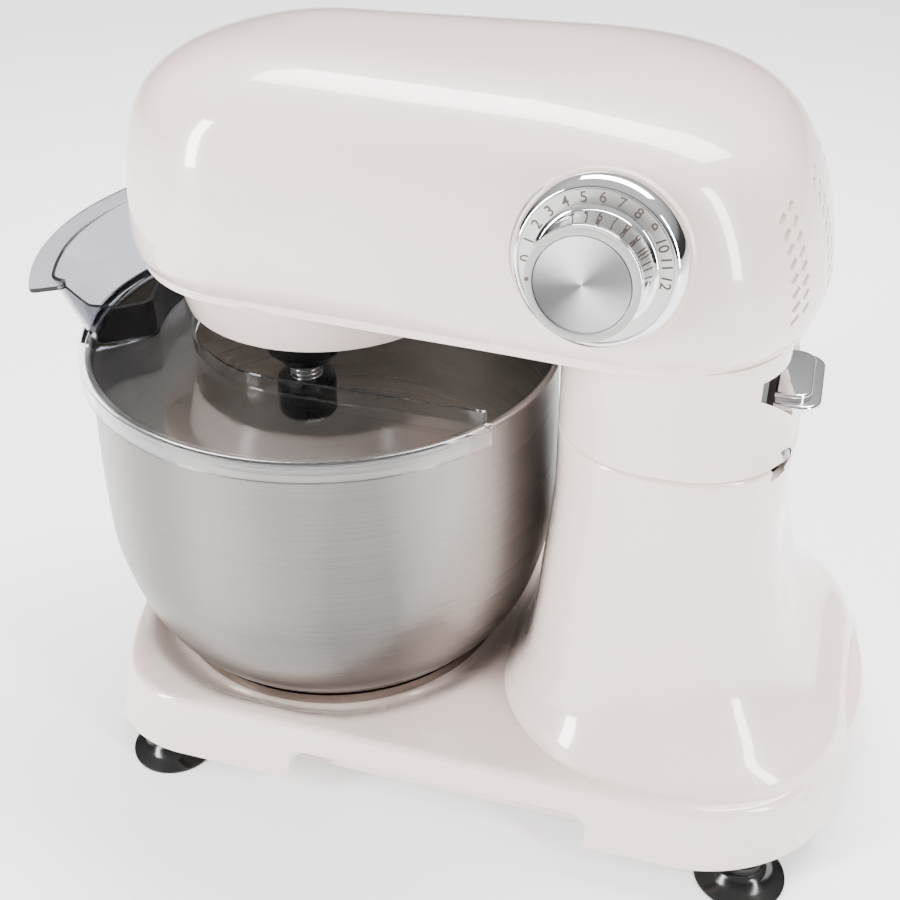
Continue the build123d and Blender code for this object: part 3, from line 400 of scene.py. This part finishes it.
def head_shell():
    """Upper cover from its ceiling down the inner wall, round the lip and up the outer face."""
    rows = catmull(HEAD, 5)
    outer = [oval_ring(row) for row in rows]
    inner = []
    for row in rows[:-6]:
        z = HEAD_BOTTOM + (row[0] - HEAD_BOTTOM) * 0.965
        inner.append(oval_ring([z] + row[1:], WALL))
    lip = oval_ring([HEAD_BOTTOM] + rows[0][1:], LIP)
    outer[0] = [(x, y, z + LIP) for x, y, z in outer[0]]
    verts, faces = rings_to_faces(inner[::-1] + [lip] + outer)
    return make_object("head_shell", verts, faces, "body_enamel", "head", ("head_top_cover",), 50.0)


VENT_COLUMNS = [(50.0, 0.0), (44.0, 2.7), (20.0, 3.0), (14.0, 5.6)]   # (distance from the middle, lift)
VENT_ROWS = 8
VENT_PITCH = 5.6
VENT_X, VENT_TOP_Z = 133.0, 293.5
VENT_SIZE = (36.0, 4.6, 2.1)
VENT_SLANT = radians(38)

DIAL = (64.5, -79.4, 282.5)    # middle of the dial's seat
YAW, TILT = radians(3.0), radians(6.0)
SEAT_R, SEAT_DEPTH = 33.4, 16.0


def dial_matrix():
    """Dial's own frame: x to its right, y up along its face, z outward."""
    normal = Vector((-sin(YAW) * cos(TILT), -cos(YAW) * cos(TILT), sin(TILT)))
    right = Vector((cos(YAW), -sin(YAW), 0))
    up = normal.cross(right)
    turn = Matrix((right, up, normal)).transposed().to_4x4()
    return Matrix.Translation(Vector(DIAL) * MM) @ turn


def cut(obj, cutter_mesh, smooth_angle):
    """Take a closed mesh away from a piece."""
    cutter = bpy.data.objects.new("cutter", cutter_mesh)
    bpy.context.scene.collection.objects.link(cutter)
    mod = obj.modifiers.new("cut", "BOOLEAN")
    mod.object = cutter
    mod.operation = "DIFFERENCE"
    mod.solver = "EXACT"
    bpy.context.view_layer.objects.active = obj
    bpy.ops.object.modifier_apply(modifier="cut")
    bpy.data.objects.remove(cutter)
    while len(obj.data.materials) > 1:
        obj.data.materials.pop()
    finish_mesh(obj, smooth_angle)


def head_openings():
    """Slanted air slots at the rear and the round seat of the dial, as one cutter."""
    bm = bmesh.new()
    size = Matrix.Diagonal((*[length * MM for length in VENT_SIZE], 1))
    for y, lift in VENT_COLUMNS:
        for side in (-1, 1):
            slant = Matrix.Rotation(-side * VENT_SLANT, 4, "X")
            for row in range(VENT_ROWS):
                z = VENT_TOP_Z + lift - VENT_PITCH * row
                spot = Matrix.Translation((VENT_X * MM, side * y * MM, z * MM))
                bmesh.ops.create_cube(bm, size=1, matrix=spot @ slant @ size)
    rod(bm, SEAT_R, SEAT_DEPTH, dial_matrix() @ Matrix.Translation((0, 0, SEAT_DEPTH / 2 * MM)), 96)
    mesh = bpy.data.meshes.new("head_openings")
    bm.to_mesh(mesh)
    bm.free()
    return mesh


head = head_shell()
cut(head, head_openings(), 32.0)

# ---- base and column -------------------------------------------------------------------
DECK_Z = 44.0                  # top of the deck
DISH_Z = 35.5                  # floor of the round dish under the bowl
DISH_R, DISH_FLOOR_R = 106.0, 87.0
SKIRT_Z = 14.0                 # lower edge of the skirt
RECESS = (-59.0, 81.0)         # raised stretch of the skirt on both sides, from x to x
REAR_RECESS = 58.0             # half width of the raised stretch at the rear
RECESS_Z = 28.5
RECESS_CORNER = 8.0


def outline():
    """Deck outline as (centre x, centre y, radius, angle), counter-clockwise from the rear."""
    front, rear = radians(21.17), radians(30.76)
    arcs = [
        (42.0, 0.0, 150.0, 0.0, rear, 14),
        (117.6, 45.0, 62.0, rear, pi / 2, 16),
        (-115.35, 65.0, 42.0, pi / 2, pi - front, 14),
        (52.5, 0.0, 222.0, pi - front, pi + front, 24),
        (-115.35, -65.0, 42.0, pi + front, 3 * pi / 2, 14),
        (117.6, -45.0, 62.0, 3 * pi / 2, 2 * pi - rear, 16),
        (42.0, 0.0, 150.0, 2 * pi - rear, 2 * pi, 14),
    ]
    pts = []
    for index, (cx, cy, r, a0, a1, steps) in enumerate(arcs):
        for i in range(steps):
            pts.append((cx, cy, r, a0 + (a1 - a0) * i / steps))
        if index in (1, 4):
            pts.append((cx, cy, r, a1))
            nxt = arcs[index + 1][0]
            for x in side_stations(cx, nxt):
                pts.append((x, cy, r, a1))
    return pts


def side_stations(x_from, x_to):
    """Stations along a straight side, close together at the ends of the recess."""
    low, high = RECESS
    stations = [low - 0.05, low, high, high + 0.05]
    for i in range(1, 7):
        step = RECESS_CORNER * (1 - cos(pi / 2 * i / 6))
        stations += [low + step, high - step]
    stations += [low + RECESS_CORNER + (high - low - 2 * RECESS_CORNER) * i / 8 for i in range(1, 8)]
    stations += [-100.0, -85.0, -70.0, 95.0, 106.0]
    return sorted(stations, reverse=x_from > x_to)


def skirt_foot(x, y):
    """Height of the skirt's lower edge at a place on the outline."""
    if abs(y) > 80 and x < 100:
        inside = min(x - RECESS[0], RECESS[1] - x)
    elif x > 150:
        inside = REAR_RECESS - abs(y)
    else:
        inside = -1
    if inside < 0:
        return SKIRT_Z
    short = RECESS_CORNER - min(inside, RECESS_CORNER)
    return RECESS_Z - (RECESS_CORNER - sqrt(max(RECESS_CORNER ** 2 - short ** 2, 0)))


def base_shell():
    """Skirt from its inner wall round the lower edge and up, then the deck and the dish under the bowl."""
    pts = outline()

    def flare(z):
        """Outward lean of the skirt at a height."""
        return 8.5 * (43.0 - z) / 26.5

    def ring(move):
        """Outline moved outward and to a height, both worked out from the height of the skirt's foot."""
        out = []
        for cx, cy, r, a in pts:
            grow, z = move(skirt_foot(cx + r * cos(a), cy + r * sin(a)))
            out.append((cx + (r + grow) * cos(a), cy + (r + grow) * sin(a), z))
        return out

    rings = [
        ring(lambda foot: (flare(38.0) - 3.0, 38.0)),
        ring(lambda foot: (flare(foot) - 4.6, foot + 0.6)),
        ring(lambda foot: (flare(foot) - 4.0, foot)),
        ring(lambda foot: (flare(foot) - 3.2, foot + 0.15)),
        ring(lambda foot: (flare(foot + 3.0) - 0.25, foot + 2.9)),
        ring(lambda foot: (flare(foot + 3.6), foot + 3.8)),
        ring(lambda foot: (flare(35.0), 35.0)),
        ring(lambda foot: (flare(40.0), 40.0)),
    ]
    for i in range(1, 7):
        a = radians(15 * i)
        rings.append(ring(lambda foot: (0.85 - 3.6 * (1 - cos(a)), 40.3 + 3.7 * sin(a))))
    rings.append(ring(lambda foot: (-5.0, DECK_Z)))
    edge = rings[-1]
    for t in (0.0, 0.12, 0.25, 0.38, 0.5, 0.62, 0.75, 0.88, 1.0):
        drop = t * t * (3 - 2 * t) * (DECK_Z - DISH_Z)
        out = []
        for x, y, z in edge:
            d = hypot(x - BOWL_X, y)
            start = min(DISH_R, d - 1.0)
            r = start + (DISH_FLOOR_R - start) * t
            out.append((BOWL_X + (x - BOWL_X) * r / d, y * r / d, DECK_Z - drop))
        rings.append(out)
    rings.append([(BOWL_X + (x - BOWL_X) * 0.5, y * 0.5, DISH_Z) for x, y, z in rings[-1]])
    verts, faces = rings_to_faces(rings, False, True)
    make_object("base_shell", verts, faces, "body_enamel", "base", ("base_housing",), 38.0)


COLUMN_TOP = 187.0
COLUMN_EDGE = 2.2              # rounding of the column's upper edge
SCOOP_R = 6.8
# (z, front x, rear x, half width, corner radius)
COLUMN = [
    (38.0, 21.5, 190.5, 104.5, 74.0),
    (44.0, 25.2, 186.6, 101.4, 70.0),
    (52.0, 29.0, 182.0, 97.5, 66.0),
    (62.0, 34.0, 169.5, 90.5, 60.0),
    (75.0, 36.5, 159.5, 84.0, 55.0),
    (90.0, 38.0, 152.5, 78.5, 51.0),
    (110.0, 39.5, 147.0, 73.8, 48.0),
    (132.0, 41.5, 143.0, 71.0, 46.0),
    (156.0, 43.0, 141.5, 70.3, 45.0),
    (187.0, 43.0, 142.5, 70.5, 45.0),
]


def rect_ring(row, inset=0.0, corner_steps=14, flat_steps=6):
    """Ring of a rounded rectangle, the same count for every row."""
    z, front, rear, half, corner = row
    corner -= inset
    front, rear, half = front + inset, rear - inset, half - inset
    centres = [(rear, half, 0), (front, half, 90), (front, -half, 180), (rear, -half, 270)]
    pts = []
    for k, (x, y, start) in enumerate(centres):
        cx = x - corner if x == rear else x + corner
        cy = y - corner if y > 0 else y + corner
        for i in range(corner_steps + 1):
            a = radians(start + 90 * i / corner_steps)
            pts.append((cx + corner * cos(a), cy + corner * sin(a), z))
        nx, ny, nstart = centres[(k + 1) % 4]
        ncx = nx - corner if nx == rear else nx + corner
        ncy = ny - corner if ny > 0 else ny + corner
        b = radians(nstart)
        p, q = pts[-1], (ncx + corner * cos(b), ncy + corner * sin(b))
        for i in range(1, flat_steps):
            t = i / flat_steps
            pts.append((p[0] + (q[0] - p[0]) * t, p[1] + (q[1] - p[1]) * t, z))
    return pts


def column_shell():
    """Column up to its rounded upper edge, and a short way down inside."""
    rings = [rect_ring(row) for row in catmull(COLUMN, 6)[:-2]]
    plan = list(COLUMN[-1][1:])
    for i in range(6):
        a = pi / 2 * i / 5
        z = COLUMN_TOP - COLUMN_EDGE + COLUMN_EDGE * sin(a)
        rings.append(rect_ring([z] + plan, COLUMN_EDGE * (1 - cos(a))))
    rings.append(rect_ring([COLUMN_TOP] + plan, 3.4))
    rings.append(rect_ring([COLUMN_TOP - 11.0] + plan, 3.8))
    verts, faces = rings_to_faces(rings, False, False)
    obj = make_object("column_shell", verts, faces, "body_enamel", "base", (), 45.0)
    scoop_rear(obj)


def scoop_rear(obj):
    """Round scoop across the rear of the column that clears the neck's nose."""
    bm = bmesh.new()
    spot = Matrix.Translation((HINGE_X * MM, 0, HINGE_Z * MM)) @ Matrix.Rotation(pi / 2, 4, "X")
    rod(bm, SCOOP_R, 100, spot, 64)
    mesh = bpy.data.meshes.new("scoop")
    bm.to_mesh(mesh)
    bm.free()
    cut(obj, mesh, 40.0)


def skirt_liners():
    """Inner walls and roofs behind the raised stretches of the skirt."""
    verts, faces = [], []

    def box(x0, x1, y0, y1, z0, z1):
        base = len(verts)
        verts.extend([(x, y, z) for z in (z0, z1) for y in (y0, y1) for x in (x0, x1)])
        for quad in ((0, 1, 3, 2), (4, 6, 7, 5), (0, 4, 5, 1), (1, 5, 7, 3), (3, 7, 6, 2), (2, 6, 4, 0)):
            faces.append([base + i for i in quad])

    for side in (-1, 1):
        box(-62, 84, *sorted((side * 97, side * 99.5)), 14.2, 31.0)
        box(-62, 84, *sorted((side * 99.5, side * 109)), 29.0, 31.0)
    box(179, 181.5, -61, 61, 14.2, 31.0)
    rear_arc = [radians(-21.9 + 43.8 * i / 16) for i in range(17)]
    roof = [(181.5, -57.0)] + [(42 + 153 * cos(a), 153 * sin(a)) for a in rear_arc] + [(181.5, 57.0)]
    base = len(verts)
    more, sides = rings_to_faces([[(x, y, z) for x, y in roof] for z in (29.0, 31.0)])
    verts.extend(more)
    faces.extend([base + i for i in face] for face in sides)
    obj = make_object("skirt_liners", verts, faces, "body_enamel", "base")
    mod = obj.modifiers.new("bevel", "BEVEL")
    mod.width = 0.4 * MM
    mod.segments = 3
    mod.limit_method = "ANGLE"
    mod.angle_limit = radians(30)
    mod.harden_normals = True


base_shell()
column_shell()
skirt_liners()

# ---- feet and bowl ---------------------------------------------------------------------
FEET = [(-128.0, -96.0), (-128.0, 96.0), (149.0, -96.0), (149.0, 96.0)]


def foot_profile():
    """Suction cup, its domed back and its stem, as (r, z)."""
    cup = [(0.0, 3.4), (8.0, 3.0), (14.0, 1.9), (18.2, 0.25), (18.8, 0.0), (19.9, 0.0), (20.3, 0.5)]
    top = [(20.2, 1.2), (18.6, 2.2), (15.5, 3.6), (13.2, 5.2), (12.0, 7.2), (11.0, 8.6)]
    stem = [(9.2, 9.2), (9.0, 13.4), (3.0, 13.6), (3.0, 14.8), (0.0, 14.8)]
    return cup + top + stem


for index, (x, y) in enumerate(FEET):
    spun_object(f"suction_foot_{index + 1}", foot_profile(), "foot_rubber", "base", x, y,
                ("suction_feet",) if index == 0 else (), closed=False, count=72)

# Bowl's outer wall from its foot to its rim, as (r, z).
BOWL_SIDE = [(79.0, 41.6), (85.2, 42.6), (95.0, 54.0), (101.6, 67.0), (106.0, 82.0), (109.2, 98.0),
             (110.0, 113.0), (110.0, 132.0), (109.6, 152.0), (108.9, 170.0), (108.4, 188.0)]
BOWL_WALL = 0.9
INSIDE_Z = (0.0428, 0.189)     # heights in metres between which the bowl's inner material lies


def bowl_profile():
    """Outer floor, wall, rolled rim, inner wall and inner floor."""
    side = catmull(BOWL_SIDE, 4)
    rim = arc(108.4, 189.9, 1.6, -60, 180, 12)
    inner = [(r - BOWL_WALL, z + 0.8) for r, z in reversed(side[3:-1])]
    outer_floor = [(0.0, 42.4), (60.0, 42.4), (70.0, 41.9)]
    inner_floor = [(70.0, 42.9), (60.0, 43.3), (0.0, 43.3)]
    return outer_floor + side + rim + inner + inner_floor


def paint_inside(obj):
    """Second material, a lighter copy of the bowl steel with painted light, on the faces that look into the
    bowl.
    """
    obj.data.materials.append(MATS["bowl_inside_lit_copy"])
    low, high = INSIDE_Z
    for polygon in obj.data.polygons:
        centre, normal = polygon.center, polygon.normal
        inward = (centre.x - BOWL_X * MM) * normal.x + centre.y * normal.y < 0 or normal.z > 0.7
        polygon.material_index = 1 if inward and low < centre.z < high else 0


FOOT_BAND = [(84.2, 36.6), (84.6, 36.3), (85.2, 36.3), (85.6, 36.7), (85.6, 41.4), (84.4, 41.4)]

bowl = spun_object("bowl_shell", bowl_profile(), "bowl_steel", "bowl", BOWL_X, 0.0, ("bowl",), closed=False,
                   count=160)
paint_inside(bowl)
spun_object("bowl_foot_band", FOOT_BAND, "foot_ring_steel", "bowl", BOWL_X, 0.0, (), count=160)

# ---- dial ------------------------------------------------------------------------------
# Profiles are (r, w), with w measured outward from the dial's seat.
NUMBERS_W = 7.3                # face of the number disc
FACE_W = 25.0                  # front end of the knob's barrel
PAD = [(0.0, -7.0), (33.3, -7.0), (33.3, -0.15), (33.0, 0.0), (5.0, 0.0), (0.0, -0.5)]
FLANGE = [(32.5, -0.5), (32.5, 0.8), (32.35, 2.2), (31.9, 3.8), (31.2, 5.3), (30.3, 6.6), (29.4, 7.4),
          (28.8, 7.7), (28.4, 7.65), (28.15, 7.3), (28.1, 6.9), (5.2, 6.9), (5.2, -0.5)]
DISC = [(28.0, 6.9), (28.0, 7.15), (27.8, NUMBERS_W), (5.4, NUMBERS_W), (5.4, 6.9)]
KNOB_FOOT = [(3.2, 7.9), (22.6, 7.9), (23.0, 8.3), (23.0, 9.2), (22.6, 9.7), (21.6, 10.1), (21.1, 11.0)]
KNOB_BARREL = [(20.7, 15.0), (20.4, 21.0), (20.5, 23.6)] + arc(19.9, 24.2, 0.8, 0, 90, 5)
KNOB = KNOB_FOOT + KNOB_BARREL + [(17.6, FACE_W), (3.2, FACE_W)]
BEZEL_OUTSIDE = [(17.6, FACE_W), (20.0, FACE_W), (20.5, 25.4)] + arc(19.9, 26.4, 0.6, 0, 90, 4)
BEZEL = BEZEL_OUTSIDE + [(18.2, 27.0), (17.8, 26.8), (17.6, 26.5)]
CAP = [(0.0, FACE_W), (17.5, FACE_W), (17.5, 26.1), (17.1, 26.5), (16.6, 26.4), (0.0, 26.4)]
DOT = [(0.0, 26.9), (0.75, 26.9), (0.8, 27.1), (0.0, 27.15)]
DOT_SPOT = (-19.1, -0.4, 0.0)  # on the bezel, in the dial's own frame


def dial_lathe(name, profile, slot, body, replaced=(), closed=True):
    """Piece turned on the dial's axis."""
    obj = spun_object(name, profile, slot, body, replaced=replaced, closed=closed, count=128,
                      smooth_angle=35.0)
    obj.data.transform(dial_matrix())
    return obj


dial_lathe("dial_pad", PAD, "body_enamel", "head", closed=False)
dial_lathe("dial_ring", FLANGE, "polished_chrome", "head", ("dial_flange",))
dial_lathe("number_disc", DISC, "dial_silver", "head")
dial_lathe("knob_body", KNOB, "polished_chrome", "speed_dial", ("dial_knob",))
dial_lathe("knob_ring", BEZEL, "dial_grey", "speed_dial", ("dial_bezel",))
dial_lathe("knob_face", CAP, "spun_metal", "speed_dial", ("dial_cap",), closed=False)
dot = dial_lathe("index_dot", DOT, "numeral", "speed_dial", closed=False)
dot_shift = dial_matrix().to_3x3() @ Vector([c * MM for c in DOT_SPOT])
dot.data.transform(Matrix.Translation(dot_shift))

NUMBER_R = 25.2
NUMBER_SIZE = 5.5
NUMBER_START, NUMBER_STEP = 181, 15.4   # angle of the 0, and clockwise to each next number, in degrees


def numerals():
    """Speed numbers 0 to 12 round the number disc, their tops outward."""
    bm = bmesh.new()
    for number in range(13):
        angle = radians(NUMBER_START - NUMBER_STEP * number)
        curve = bpy.data.curves.new(f"number_{number}", "FONT")
        curve.body = str(number)
        curve.size = NUMBER_SIZE * MM
        curve.align_x, curve.align_y = "CENTER", "CENTER"
        curve.extrude = 0.04 * MM
        curve.offset = 0.06 * MM
        temp = bpy.data.objects.new("temp", curve)
        bpy.context.scene.collection.objects.link(temp)
        reach = NUMBER_R * MM
        spot = Matrix.Translation((reach * cos(angle), reach * sin(angle), (NUMBERS_W + 0.04) * MM))
        temp.matrix_world = dial_matrix() @ spot @ Matrix.Rotation(angle - pi / 2, 4, "Z")
        bpy.context.view_layer.update()
        mesh = bpy.data.meshes.new_from_object(temp.evaluated_get(bpy.context.evaluated_depsgraph_get()))
        mesh.transform(temp.matrix_world)
        bpy.data.objects.remove(temp)
        bm.from_mesh(mesh)
    joined = bpy.data.meshes.new("numerals")
    bm.to_mesh(joined)
    bm.free()
    joined.materials.append(MATS["numeral"])
    obj = bpy.data.objects.new("numerals", joined)
    bpy.context.scene.collection.objects.link(obj)
    place(obj, "head")


numerals()

# ---- release lever ---------------------------------------------------------------------
def rounded_plate(name, x0, x1, half, corner, z0, z1, edge, replaced=()):
    """Chrome plate of the lever with two rounded rear corners and a rounded upper edge."""
    side = [(x0, -half)]
    for i in range(11):
        a = radians(9 * i)
        side.append((x1 - corner + corner * sin(a), -half + corner - corner * cos(a)))
    plan = side + [(x, -y) for x, y in reversed(side)]
    middle = (x0 + x1) / 2

    def ring(inset, z):
        """Plan drawn in toward its middle."""
        out = []
        for x, y in plan:
            dx = x - middle
            out.append((x - inset * dx / (abs(dx) + 4), y - inset * y / (abs(y) + 2), z))
        return out

    rings = []
    for i in range(5):
        a = pi / 2 * (1 - i / 4)
        rings.append(ring(0.5 * (1 - cos(a)), z0 + 0.5 * (1 - sin(a))))
    for i in range(7):
        a = pi / 2 * i / 6
        rings.append(ring(edge * (1 - cos(a)), z1 - edge + edge * sin(a)))
    verts, faces = rings_to_faces(rings)
    make_object(name, verts, faces, "polished_chrome", "lever", replaced, 50.0)


rounded_plate("lever_root", 106.5, 130.0, 12.0, 2.0, 201.0, 207.0, 0.5)
rounded_plate("lever_plate", 129.0, 150.0, 23.5, 9.0, 198.6, 201.6, 1.2, ("release_lever",))
rounded_plate("lever_step", 129.0, 145.8, 19.8, 7.0, 201.4, 204.6, 1.3)

# ---- kept CAD nodes, with the materials above ------------------------------------------
slot_of = {part["node"]: part["material_slot"] for part in frame["record"]["subparts"]}
for name, obj in frame["nodes"].items():
    obj.data.materials.clear()
    obj.data.materials.append(MATS[slot_of[name]])

# ---- stage -----------------------------------------------------------------------------
def stage():
    """White floor that glows a little, and a world that is dark at the sides and light above."""
    half = 6.0
    corners = [(-half, -half, 0), (half, -half, 0), (half, half, 0), (-half, half, 0)]
    mesh = bpy.data.meshes.new("floor")
    mesh.from_pydata(corners, [], [(0, 1, 2, 3)])
    floor = bpy.data.objects.new("floor", mesh)
    bpy.context.scene.collection.objects.link(floor)
    m = Nodes("floor_white")
    m.blend(m.noise(3.0), grey(0.90), grey(0.92))
    m.set(Emission_Color=(1, 1, 1, 1), Emission_Strength=0.55)
    m.rough(m.noise(8.0), 0.8, 0.9)
    mesh.materials.append(m.mat)

    world = bpy.data.worlds.new("studio")
    bpy.context.scene.world = world
    world.use_nodes = True
    tree = world.node_tree
    direction = tree.nodes.new("ShaderNodeTexCoord").outputs["Generated"]
    split = tree.nodes.new("ShaderNodeSeparateXYZ")
    ramp = tree.nodes.new("ShaderNodeValToRGB")
    tree.links.new(direction, split.inputs["Vector"])
    tree.links.new(split.outputs["Z"], ramp.inputs["Fac"])
    bands = [(0.0, 0.05), (0.2, 0.08), (0.34, 0.4), (0.75, 0.9)]
    while len(ramp.color_ramp.elements) < len(bands):
        ramp.color_ramp.elements.new(0.5)
    for element, (position, value) in zip(ramp.color_ramp.elements, bands):
        element.position = position
        element.color = (*grey(value), 1)
    tree.links.new(ramp.outputs["Color"], tree.nodes["Background"].inputs["Color"])
    tree.nodes["Background"].inputs["Strength"].default_value = 1.0


def area(name, location, target, size, power, size_y):
    """Rectangular light aimed at a target."""
    light = bpy.data.lights.new(name, "AREA")
    light.energy = power
    light.size = size
    light.shape = "RECTANGLE"
    light.size_y = size_y
    obj = bpy.data.objects.new(name, light)
    bpy.context.scene.collection.objects.link(obj)
    obj.location = location
    aim = Vector(target) - Vector(location)
    obj.rotation_euler = aim.to_track_quat("-Z", "Y").to_euler()


def camera():
    cam = bpy.data.cameras.new("camera")
    cam.lens = 52.58
    cam.sensor_width = 36.0
    cam.clip_end = 50.0
    obj = bpy.data.objects.new("camera", cam)
    bpy.context.scene.collection.objects.link(obj)
    obj.location = (0.1338, -0.5006, 0.4863)
    obj.rotation_euler = (radians(90 - 33.88), 0, radians(16.48))
    bpy.context.scene.camera = obj


stage()
area("left_softbox", (-1.02, -0.93, 0.6), (BOWL_X * MM, 0, 0.15), 0.24, 46.0, 1.0)
area("top_softbox", (0.1, 0.5, 1.45), (0, 0, 0.2), 1.6, 62.0, 0.5)
area("right_strip", (0.98, -0.5, 0.55), (0, 0, 0.12), 0.14, 16.0, 0.9)
camera()
